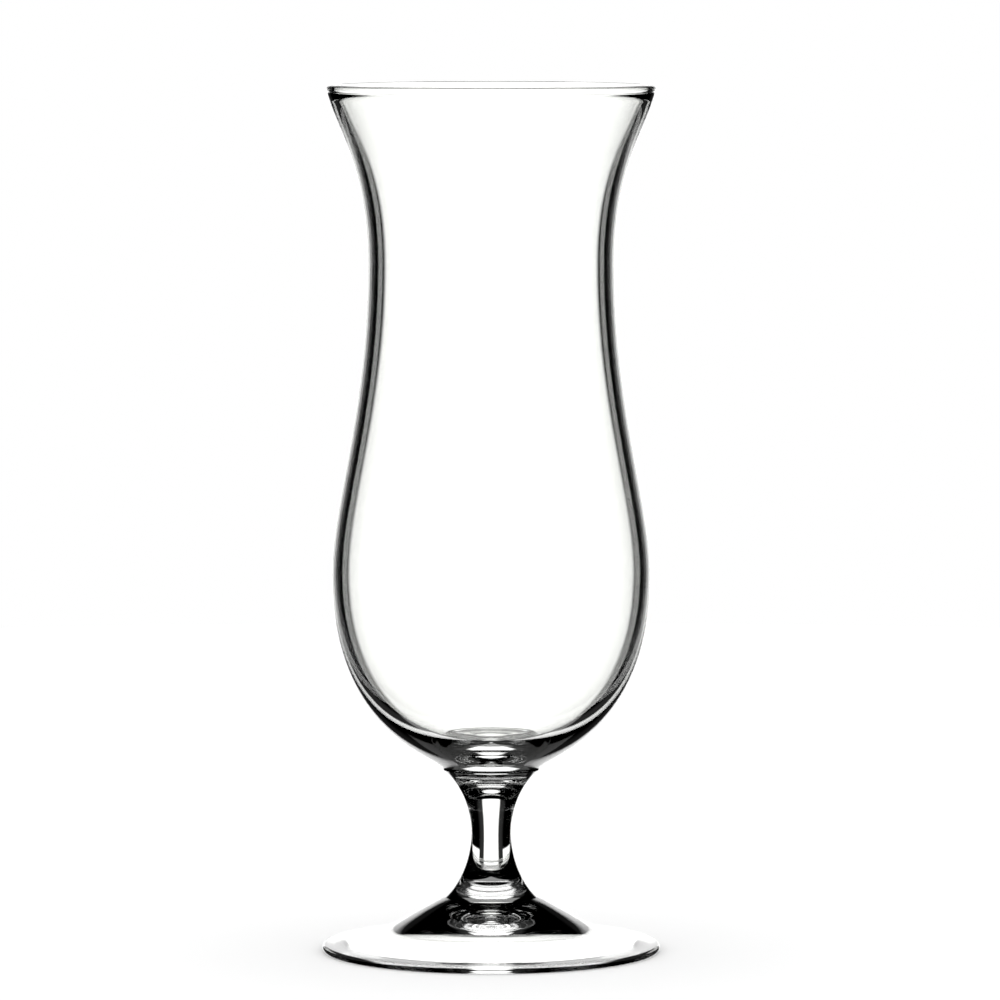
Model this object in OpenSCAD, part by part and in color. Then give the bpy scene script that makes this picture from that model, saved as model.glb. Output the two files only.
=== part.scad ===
// Hurricane glass, in millimetres, standing on z = 0 with its axis on Z.
// Three gathers of clear glass are fused face to face: a blown bowl, a solid stem and a pressed foot.

/* [Heights] */
// Foot, from the table to the ring where the stem joins it
foot_h = 12.8; // [10:0.1:16]
// Stem, from the foot's ring to the bowl's ring
stem_h = 30.6; // [20:0.1:60]
// Bowl, from the stem's ring to the top of the rim
bowl_h = 162.6; // [150:0.1:180]
// Belly, its widest place, above the stem's ring
belly_h = 47; // [40:0.1:60]
// Waist, the bowl's narrowest place, above the stem's ring
waist_h = 120.4; // [105:0.1:130]
// Slimmest place of the stem, above the foot's ring
slim_h = 15.3; // [8:0.1:16]

/* [Diameters] */
// Rim, outside its rounded bead
rim_d = 78.2; // [66:0.1:90]
// Waist of the bowl
waist_d = 58.5; // [48:0.1:64]
// Belly of the bowl
belly_d = 75.8; // [68:0.1:90]
// Ring where the bowl meets the stem
bowl_ring_d = 22.8; // [16:0.1:28]
// Stem at its slimmest place
stem_d = 9.4; // [7:0.1:14]
// Ring where the stem meets the foot
foot_ring_d = 21.6; // [16:0.1:28]
// Foot, outside its rounded edge
foot_d = 80.4; // [70:0.1:95]

/* [Glass thickness] */
// Rounded bead along the rim
bead_t = 2; // [1.9:0.1:3.2]
// Wall just under the bead
lip_t = 1.7; // [1.2:0.1:1.8]
// Wall at the waist
waist_t = 2.5; // [1.6:0.1:4]
// Wall at the belly
belly_t = 2.5; // [1.6:0.1:4]
// Bottom of the bowl, above the stem's ring
bottom_t = 5; // [4:0.1:12]
// Rounded edge of the foot
edge_t = 1.9; // [1.4:0.1:3]

/* [Underside of the foot] */
// Width of the flat ring that the glass stands on
stand_w = 4.3; // [3:0.1:7]
// Height of the bell-shaped hollow inside that ring
hollow_h = 8.4; // [2:0.1:9]

/* [Hidden] */

clear_glass = [0.86, 0.9, 0.9, 0.45];
turn_facets = 144;
bead_facets = 48;
curve_steps = 20;

// Heights above the table
foot_ring_z = foot_h;
bowl_ring_z = foot_ring_z + stem_h;

// How far each curve runs straight on past its two ends, as shares of the rectangle between them
ring_share = [0, 0.07];
belly_lower_share = [0, 0.85];
belly_upper_share = [0, 0.22];
waist_lower_share = [0, 0.46];
waist_upper_share = [0, 0.59];
outer_lip_share = [0.1, 0.19];
inner_lip_share = [0.2, 0.19];
bottom_share = [0.44, 0];
inner_belly_share = [0, 0.78];
stem_low_share = [0.54, 0.19];
slim_lower_share = [0, 0.41];
slim_upper_share = [0, 0.53];
stem_top_share = [0.37, 0.13];
hollow_top_share = [0.52, 0];
hollow_edge_share = [0.18, 0];
foot_edge_share = [0.45, 0.06];
foot_ring_share = [0.26, 0.32];

// Point at share t of the cubic curve from a to b
function curve_point(a, b, a_share, b_share, t) =
    let (
        step = b - a,
        a_handle = a + [a_share.x * step.x, a_share.y * step.y],
        b_handle = b - [b_share.x * step.x, b_share.y * step.y],
        left = 1 - t
    )
    pow(left, 3) * a + 3 * pow(left, 2) * t * a_handle
    + 3 * left * pow(t, 2) * b_handle + pow(t, 3) * b;

// Points of that curve from a up to, but not including, b
function curve(a, b, a_share, b_share) =
    [for (i = [0:curve_steps - 1]) curve_point(a, b, a_share, b_share, i / curve_steps)];

function backwards(points) = [for (i = [len(points) - 1:-1:0]) points[i]];

// A place on the bowl's wall, as its distance from the axis and its height
function belly_place(wall_t) = [belly_d / 2 - wall_t, bowl_ring_z + belly_h];
function waist_place(wall_t) = [waist_d / 2 - wall_t, bowl_ring_z + waist_h];

// One side of the bowl's wall, up from its belly over its waist to its lip
function wall_side(belly, waist, lip, lip_share) =
    concat(
        curve(belly, waist, belly_upper_share, waist_lower_share),
        curve(waist, lip, waist_upper_share, lip_share),
        [lip]
    );

// Turns an outline of distances from the axis and heights into a solid round the axis
module turned() {
    rotate_extrude($fn = turn_facets) children();
}

// Blown bowl: thick bottom, belly, waist and flare, with a rounded bead along the rim
module bowl() {
    bead = [rim_d / 2 - bead_t / 2, bowl_ring_z + bowl_h - bead_t / 2];
    ring = [bowl_ring_d / 2, bowl_ring_z];
    bottom = [0, bowl_ring_z + bottom_t];
    lip_half = [lip_t / 2, 0];
    outer = concat(
        curve(ring, belly_place(0), ring_share, belly_lower_share),
        wall_side(belly_place(0), waist_place(0), bead + lip_half, outer_lip_share)
    );
    inner = concat(
        curve(bottom, belly_place(belly_t), bottom_share, inner_belly_share),
        wall_side(belly_place(belly_t), waist_place(waist_t), bead - lip_half, inner_lip_share)
    );
    color(clear_glass)
        turned() {
            polygon(concat([[0, bowl_ring_z]], outer, backwards(inner)));
            translate(bead) circle(d = bead_t, $fn = bead_facets);
        }
}

// Solid stem, slim in the middle and flared to the ring at each end
module stem() {
    low = [foot_ring_d / 2, foot_ring_z];
    slim = [stem_d / 2, foot_ring_z + slim_h];
    top = [bowl_ring_d / 2, bowl_ring_z];
    color(clear_glass)
        turned()
            polygon(concat(
                [[0, foot_ring_z]],
                curve(low, slim, stem_low_share, slim_lower_share),
                curve(slim, top, slim_upper_share, stem_top_share),
                [top, [0, bowl_ring_z]]
            ));
}

// Pressed foot: a raised middle that sweeps out to a thin round edge, with a deep hollow underneath
module foot() {
    edge_r = foot_d / 2 - edge_t / 2;
    edge_top = [edge_r, edge_t];
    ring = [foot_ring_d / 2, foot_ring_z];
    color(clear_glass)
        turned() {
            polygon(concat(
                curve([0, hollow_h], [edge_r - stand_w, 0], hollow_top_share, hollow_edge_share),
                [[edge_r - stand_w, 0], [edge_r, 0]],
                curve(edge_top, ring, foot_edge_share, foot_ring_share),
                [ring, [0, foot_ring_z]]
            ));
            translate([edge_r, edge_t / 2]) circle(d = edge_t, $fn = bead_facets);
        }
}

bowl();
stem();
foot();
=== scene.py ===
# A hurricane glass of clear glass, standing on a plain white studio table.
# Lengths are in metres: the glass stands on z = 0 with its axis on Z, and the camera looks along +Y.

import math

import bpy
import numpy as np
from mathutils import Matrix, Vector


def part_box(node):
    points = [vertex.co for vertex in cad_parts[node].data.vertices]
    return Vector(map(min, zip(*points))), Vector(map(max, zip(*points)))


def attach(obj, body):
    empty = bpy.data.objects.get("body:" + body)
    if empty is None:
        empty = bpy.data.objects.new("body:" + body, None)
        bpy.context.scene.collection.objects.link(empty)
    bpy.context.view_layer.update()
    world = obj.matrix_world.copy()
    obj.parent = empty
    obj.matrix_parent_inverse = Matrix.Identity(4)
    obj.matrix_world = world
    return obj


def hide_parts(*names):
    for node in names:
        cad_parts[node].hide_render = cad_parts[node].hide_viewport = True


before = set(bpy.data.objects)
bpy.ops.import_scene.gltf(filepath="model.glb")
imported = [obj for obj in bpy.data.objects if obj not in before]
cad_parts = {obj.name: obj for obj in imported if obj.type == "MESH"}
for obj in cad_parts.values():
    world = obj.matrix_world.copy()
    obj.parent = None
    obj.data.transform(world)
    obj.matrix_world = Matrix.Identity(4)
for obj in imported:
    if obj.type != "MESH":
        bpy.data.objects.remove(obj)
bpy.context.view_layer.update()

NODES = ("bowl", "stem", "foot")
# Heights of the two fused faces, at the stem's ends
JOINTS = [corner.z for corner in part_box("stem")]

# The photograph's camera, fitted to the glass's outline
PHOTO_SIDE_PX = 1000
PHOTO_FOCAL_PX = 7130
SENSOR_MM = 36.0
CAMERA_PLACE = (0.0021, -1.685, 0.243)
CAMERA_DOWN = math.radians(4.594)

# How finely the outlines are turned
AROUND = 180
LONGEST_STEP = 0.002
LARGEST_TURN = math.radians(3.0)
# An outline has a corner where it turns further than the first, and runs straight on below the second
CORNER_TURN = math.radians(32.0)
STRAIGHT_TURN = math.radians(0.1)
# Places that agree this closely are one
WELD = 1e-6
WELD_DIGITS = 6

GLASS_IOR = 1.52
GLASS_COLOUR = (0.985, 0.99, 0.975, 1)
# Faint waviness from the glass's making
WAVE_SCALE = 45.0
WAVE_DETAIL = 1.0
WAVE_HEIGHT = 0.00001
# Fine scuffing on the flat ring that the foot stands on
SCUFF_SCALE = 900.0
SCUFF_DETAIL = 4.0
SCUFF_SHARE = 0.5
SCUFF_ROUGHNESS = 0.5
SCUFF_TOP = 0.0001

# Studio, in directions seen from the glass: azimuth 0 is straight behind it, and elevation 0 is level.
# The panels are brighter than white, as in the photograph, and make up for what the glass reflects.
PANEL_LIGHT = 1.5
SOFT_EDGE = math.radians(2.0)
ALL_ROUND = math.tau
# The lit backdrop fades out over a few degrees at its sides
BACKDROP_HALF = math.radians(14.5)
BACKDROP_EDGE = math.radians(3.0)
BACKDROP_TOP = math.radians(28.0)
BACKDROP_FOOT = math.radians(-42.0)
# Faint glow beside and below the backdrop
GLOW_HALF = math.radians(25.0)
GLOW_EDGE = math.radians(6.0)
GLOW_LIGHT = 0.02
OVERHEAD_FROM = math.radians(77.0)
# Dimmer light that comes in steeply from the table
LOW_HALF = math.radians(30.0)
LOW_FROM = math.radians(-38.0)
LOW_LIGHT = 0.2
# The pale room and table top that show straight through the glass from its other sides:
# the azimuth of the middle, the lowest and the highest elevation of each
SIDE_HALF = math.radians(19.0)
SIDES = [[math.radians(angle) for angle in side] for side in (
    (-135, -60, 25),
    (-90, -60, 35),
    (-45, -60, -21),
    (45, -60, -21),
    (90, -60, 35),
    (135, -60, 25),
    (180, -60, 35),
)]
STEEP_FROM = math.radians(-64.0)

TABLE_RADIUS = 0.8
TABLE_CORNERS = 128
TABLE_COLOUR = (0.96, 0.96, 0.96, 1)
# The room's light on the table, where 1 is the white that the camera sees
ROOM_LIGHT = 1.16

LIGHT_BOUNCES = 32


def turns(points):
    """How far the outline turns at each inner point."""
    steps = np.diff(points, axis=0)
    heading = np.unwrap(np.arctan2(steps[:, 1], steps[:, 0]))
    return np.abs(np.diff(heading))


def seam_outline(node):
    """The CAD solid's outline as (distance from the axis, height), anticlockwise, read along its seam."""
    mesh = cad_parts[node].data
    place = {}
    for vertex in mesh.vertices:
        x, y, z = vertex.co
        if abs(y) < WELD and x > -WELD:
            place[vertex.index] = (round(x, WELD_DIGITS), round(z, WELD_DIGITS))
    links = {}
    for edge in mesh.edges:
        a, b = edge.vertices
        if a in place and b in place and place[a] != place[b]:
            links.setdefault(place[a], set()).add(place[b])
            links.setdefault(place[b], set()).add(place[a])
    here, last = sorted((p for p in links if len(links[p]) == 1), key=lambda p: p[1])
    path = [here]
    while here != last:
        here = next(p for p in links[here] if p not in path[-2:])
        path.append(here)
    # a flat disc has no point of its own on the axis
    start = [(0.0, z) for r, z in path[:1] if r > WELD]
    end = [(0.0, z) for r, z in path[-1:] if r > WELD]
    points = np.array(start + path + end)
    # points along a straight facet say nothing of the curve that the facets follow
    points = points[np.concatenate([[True], turns(points) > STRAIGHT_TURN, [True]])]
    r, z = points.T
    area = np.sum(r * np.roll(z, -1) - np.roll(r, -1) * z) / 2
    return points if area > 0 else points[::-1]


def bends(points, chord):
    """Second derivatives, at the points, of the cubic spline through them."""
    size = len(points)
    slope = np.diff(points, axis=0) / chord[:, None]
    system = np.zeros((size, size))
    right = np.zeros((size, 2))
    for i in range(1, size - 1):
        system[i, i - 1 : i + 2] = chord[i - 1], 2 * (chord[i - 1] + chord[i]), chord[i]
        right[i] = 6 * (slope[i] - slope[i - 1])
    # an end on the axis is level, and at any other end the curve bends as it does just inside it
    system[0, :2] = 1, -1
    system[-1, -2:] = -1, 1
    if points[0, 0] < WELD:
        system[0, :2] = 2 * chord[0], chord[0]
        right[0] = 6 * (slope[0] - (1, 0))
    if points[-1, 0] < WELD:
        system[-1, -2:] = chord[-1], 2 * chord[-1]
        right[-1] = 6 * ((-1, 0) - slope[-1])
    return np.linalg.solve(system, right)


def stations(points):
    """Places along a smooth curve through the points, closer where it bends and never far apart."""
    chord = np.hypot(*np.diff(points, axis=0).T)
    if len(points) == 2:
        count = max(1, math.ceil(chord[0] / LONGEST_STEP))
        share = np.linspace(0, 1, count + 1)[:, None]
        return points[0] * (1 - share) + points[1] * share
    at = np.concatenate([[0], np.cumsum(chord)])
    bend = bends(points, chord)
    turn = np.concatenate([[0], turns(points), [0]])
    places = []
    for i in range(len(points) - 1):
        count = math.ceil(max(chord[i] / LONGEST_STEP, (turn[i] + turn[i + 1]) / 2 / LARGEST_TURN, 1))
        t = at[i] + chord[i] * np.arange(count)[:, None] / count
        before = at[i + 1] - t
        after = t - at[i]
        places.append(
            bend[i] * before**3 / (6 * chord[i])
            + bend[i + 1] * after**3 / (6 * chord[i])
            + (points[i] / chord[i] - bend[i] * chord[i] / 6) * before
            + (points[i + 1] / chord[i] - bend[i + 1] * chord[i] / 6) * after
        )
    return np.concatenate(places + [points[-1:]])


def sections(points):
    """The outline cut at its corners and where its level faces end, each stretch as smooth stations."""
    corners = {i + 1 for i, turn in enumerate(turns(points)) if turn > CORNER_TURN}
    level = {i for i, step in enumerate(np.diff(points[:, 1])) if abs(step) < WELD}
    cuts = sorted({0, len(points) - 1} | corners | level | {i + 1 for i in level})
    return [stations(points[a : b + 1]) for a, b in zip(cuts, cuts[1:])]


def outward(stretch):
    """The part away from the axis and the upward part of the outline's normal at each station."""
    length = np.concatenate([[0], np.cumsum(np.hypot(*np.diff(stretch, axis=0).T))])
    tangent = np.gradient(stretch, length, axis=0, edge_order=2 if len(stretch) > 2 else 1)
    tangent /= np.hypot(*tangent.T)[:, None]
    return tangent[:, 1], -tangent[:, 0]


def turned(name, stretches, materials, which_material):
    """Closed mesh of an outline turned round the axis, with exact normals and its corners kept."""
    angle = np.arange(AROUND) * 2 * math.pi / AROUND
    places = []
    faces = []
    normals = []
    slots = []

    def row_indices(row, on_axis):
        start = len(places)
        if on_axis:
            places.append((row[0], 0.0, row[1]))
            return [start] * AROUND
        places.extend(zip(row[0] * np.cos(angle), row[0] * np.sin(angle), [row[1]] * AROUND))
        return list(range(start, start + AROUND))

    last_row = row_indices(stretches[0][0], stretches[0][0][0] < WELD)
    for stretch in stretches:
        slot = which_material(stretch)
        out_r, out_z = outward(stretch)
        for i in range(1, len(stretch)):
            row = row_indices(stretch[i], stretch[i][0] < WELD)
            for a in range(AROUND):
                b = (a + 1) % AROUND
                corners = [(last_row[a], i - 1, a), (last_row[b], i - 1, b), (row[b], i, b), (row[a], i, a)]
                if last_row[a] == last_row[b]:
                    corners.pop(1)
                elif row[a] == row[b]:
                    corners.pop(2)
                faces.append([corner[0] for corner in corners])
                for _, k, j in corners:
                    normals.append((out_r[k] * math.cos(angle[j]), out_r[k] * math.sin(angle[j]), out_z[k]))
                slots.append(slot)
            last_row = row
    mesh = bpy.data.meshes.new(name)
    mesh.from_pydata(places, [], faces)
    for material in materials:
        mesh.materials.append(material)
    mesh.polygons.foreach_set("material_index", slots)
    mesh.polygons.foreach_set("use_smooth", [True] * len(faces))
    mesh.normals_split_custom_set(normals)
    piece = bpy.data.objects.new(name, mesh)
    bpy.context.scene.collection.objects.link(piece)
    return piece


class Graph:
    """Short forms for making and joining shader nodes."""

    def __init__(self, tree):
        self.tree = tree

    def node(self, kind, **settings):
        made = self.tree.nodes.new(kind)
        for name, value in settings.items():
            setattr(made, name, value)
        return made

    def put(self, value, socket):
        """Sets the socket to a number, or links another node's output to it."""
        if isinstance(value, (int, float)):
            socket.default_value = value
        else:
            self.tree.links.new(value, socket)

    def math(self, operation, *values, clamp=False):
        made = self.node("ShaderNodeMath", operation=operation, use_clamp=clamp)
        for socket, value in zip(made.inputs, values):
            self.put(value, socket)
        return made.outputs[0]

    def noise(self, place, scale, detail):
        made = self.node("ShaderNodeTexNoise")
        self.put(scale, made.inputs["Scale"])
        self.put(detail, made.inputs["Detail"])
        self.put(place, made.inputs["Vector"])
        return made.outputs["Fac"]

    def within(self, value, middle, half, edge=SOFT_EDGE):
        """1 where value is within half of middle and 0 outside, with a soft edge."""
        off = self.math("ABSOLUTE", self.math("SUBTRACT", value, middle))
        inside = self.math("SUBTRACT", half, off)
        return self.math("ADD", self.math("DIVIDE", inside, edge), 0.5, clamp=True)

    def brightest(self, lights):
        bright = lights[0]
        for other in lights[1:]:
            bright = self.math("MAXIMUM", bright, other)
        return bright

    def through_glass(self):
        """1 for a ray that glass has reflected or let through, else 0."""
        path = self.node("ShaderNodeLightPath")
        return self.math("MAXIMUM", path.outputs["Is Glossy Ray"], path.outputs["Is Transmission Ray"])


def node_material(name):
    """An empty node material, the graph of its nodes and its surface's socket."""
    material = bpy.data.materials.new(name)
    material.use_nodes = True
    material.node_tree.nodes.clear()
    graph = Graph(material.node_tree)
    return material, graph, graph.node("ShaderNodeOutputMaterial").inputs["Surface"]


def scuffing(graph, place):
    """Roughness of the fine scratches under the foot, from 0 off the ring that it stands on."""
    parts = graph.node("ShaderNodeSeparateXYZ")
    graph.put(place, parts.inputs[0])
    on_ring = graph.math("LESS_THAN", parts.outputs["Z"], SCUFF_TOP)
    scratches = graph.noise(place, SCUFF_SCALE, SCUFF_DETAIL)
    worn = graph.math("SUBTRACT", scratches, SCUFF_SHARE, clamp=True)
    return graph.math("MULTIPLY", on_ring, graph.math("MULTIPLY", worn, SCUFF_ROUGHNESS))


def clear_glass(name, stands):
    """Fire-polished clear glass with faint waviness, scuffed where it stands on a table."""
    material, graph, surface = node_material(name)
    place = graph.node("ShaderNodeTexCoord").outputs["Object"]
    bump = graph.node("ShaderNodeBump")
    bump.inputs["Distance"].default_value = WAVE_HEIGHT
    graph.put(graph.noise(place, WAVE_SCALE, WAVE_DETAIL), bump.inputs["Height"])
    glass = graph.node("ShaderNodeBsdfPrincipled")
    glass.inputs["Base Color"].default_value = GLASS_COLOUR
    glass.inputs["Transmission Weight"].default_value = 1.0
    glass.inputs["Roughness"].default_value = 0.0
    glass.inputs["IOR"].default_value = GLASS_IOR
    if stands:
        graph.put(scuffing(graph, place), glass.inputs["Roughness"])
    graph.put(bump.outputs["Normal"], glass.inputs["Normal"])
    graph.put(glass.outputs[0], surface)
    return material


def fused_joint():
    """The unseen face where two pieces of hot glass were fused: light goes straight through."""
    material, graph, surface = node_material("fused_joint")
    graph.put(graph.node("ShaderNodeBsdfTransparent").outputs[0], surface)
    return material


def on_joint(stretch):
    """1, the fused face, where a stretch is the flat disc at a joint, and otherwise 0, the glass."""
    flat = np.ptp(stretch[:, 1]) < 2 * WELD
    return int(flat and min(abs(stretch[0, 1] - z) for z in JOINTS) < 2 * WELD)


def make_glass():
    """The three pieces of the glass, each turned from its own solid's outline."""
    joint = fused_joint()
    for node in NODES:
        materials = [clear_glass(node + "_glass", stands=node == "foot"), joint]
        piece = turned(node + "_glass", sections(seam_outline(node)), materials, on_joint)
        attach(piece, "root")
        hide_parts(node)


def make_camera():
    data = bpy.data.cameras.new("camera")
    data.sensor_width = SENSOR_MM
    data.lens = SENSOR_MM * PHOTO_FOCAL_PX / PHOTO_SIDE_PX
    camera = bpy.data.objects.new("camera", data)
    camera.location = CAMERA_PLACE
    camera.rotation_euler = (math.pi / 2 - CAMERA_DOWN, 0, 0)
    bpy.context.scene.collection.objects.link(camera)
    bpy.context.scene.camera = camera


def make_table():
    """The white table top, which keeps the glass's soft shadow. Glass shows the studio in its place."""
    angle = np.arange(TABLE_CORNERS) * 2 * math.pi / TABLE_CORNERS
    places = [(TABLE_RADIUS * math.cos(a), TABLE_RADIUS * math.sin(a), 0.0) for a in angle]
    mesh = bpy.data.meshes.new("table")
    mesh.from_pydata(places, [], [list(range(TABLE_CORNERS))])
    material, graph, surface = node_material("table_white")
    paint = graph.node("ShaderNodeBsdfDiffuse")
    paint.inputs["Color"].default_value = TABLE_COLOUR
    open_to_studio = graph.node("ShaderNodeBsdfTransparent")
    mix = graph.node("ShaderNodeMixShader")
    graph.put(graph.through_glass(), mix.inputs[0])
    graph.put(paint.outputs[0], mix.inputs[1])
    graph.put(open_to_studio.outputs[0], mix.inputs[2])
    graph.put(mix.outputs[0], surface)
    mesh.materials.append(material)
    table = bpy.data.objects.new("table", mesh)
    bpy.context.scene.collection.objects.link(table)


def studio_light(graph, direction):
    """How bright the studio is in a direction, as a mirroring or a look through the glass shows it."""
    parts = graph.node("ShaderNodeSeparateXYZ")
    graph.put(direction, parts.inputs[0])
    x, y, z = parts.outputs
    azimuth = graph.math("ARCTAN2", x, y)
    elevation = graph.math("ARCSINE", z)
    straight_down = -math.pi / 2 - SOFT_EDGE
    straight_up = math.pi / 2 + SOFT_EDGE

    def zone(half, low, top, middle=0.0, edge=SOFT_EDGE):
        """1 within half of the middle azimuth and between two elevations, with soft edges."""
        off = graph.math("WRAP", graph.math("SUBTRACT", azimuth, middle), math.pi, -math.pi)
        height = graph.within(elevation, (low + top) / 2, (top - low) / 2)
        return graph.math("MULTIPLY", graph.within(off, 0.0, half, edge), height)

    glow = zone(GLOW_HALF, straight_down, BACKDROP_TOP, edge=GLOW_EDGE)
    from_table = zone(LOW_HALF, straight_down, LOW_FROM)
    panels = graph.brightest([
        zone(BACKDROP_HALF, BACKDROP_FOOT, BACKDROP_TOP, edge=BACKDROP_EDGE),
        graph.math("MULTIPLY", glow, GLOW_LIGHT),
        graph.math("MULTIPLY", from_table, LOW_LIGHT),
        zone(ALL_ROUND, OVERHEAD_FROM, straight_up),
    ])
    sides = [zone(SIDE_HALF, low, top, middle) for middle, low, top in SIDES]
    steep = zone(ALL_ROUND, straight_down, STEEP_FROM)
    # the sides light only the rays that no surface has mirrored
    path = graph.node("ShaderNodeLightPath")
    unmirrored = graph.math("LESS_THAN", path.outputs["Glossy Depth"], 0.5)
    straight_through = graph.math("MULTIPLY", unmirrored, path.outputs["Is Transmission Ray"])
    surroundings = graph.math("MULTIPLY", graph.brightest(sides + [steep]), straight_through)
    return graph.math("MULTIPLY", graph.math("MAXIMUM", panels, surroundings), PANEL_LIGHT)


def make_world():
    """White to the camera, the room's light to the table, and the studio's panels to the glass."""
    world = bpy.data.worlds.new("studio")
    bpy.context.scene.world = world
    world.use_nodes = True
    world.node_tree.nodes.clear()
    graph = Graph(world.node_tree)
    studio = studio_light(graph, graph.node("ShaderNodeTexCoord").outputs["Generated"])
    camera_ray = graph.node("ShaderNodeLightPath").outputs["Is Camera Ray"]
    room = graph.math("SUBTRACT", ROOM_LIGHT, graph.math("MULTIPLY", camera_ray, ROOM_LIGHT - 1.0))
    by_glass = graph.through_glass()
    strength = graph.math(
        "ADD",
        graph.math("MULTIPLY", by_glass, studio),
        graph.math("MULTIPLY", graph.math("SUBTRACT", 1.0, by_glass), room),
    )
    background = graph.node("ShaderNodeBackground")
    background.inputs["Color"].default_value = (1, 1, 1, 1)
    graph.put(strength, background.inputs["Strength"])
    graph.put(background.outputs[0], graph.node("ShaderNodeOutputWorld").inputs["Surface"])


make_camera()
make_glass()
make_table()
make_world()

scene = bpy.context.scene
scene.view_settings.view_transform = "Standard"
scene.cycles.max_bounces = LIGHT_BOUNCES
scene.cycles.transmission_bounces = LIGHT_BOUNCES
scene.cycles.glossy_bounces = LIGHT_BOUNCES
scene.cycles.transparent_max_bounces = LIGHT_BOUNCES
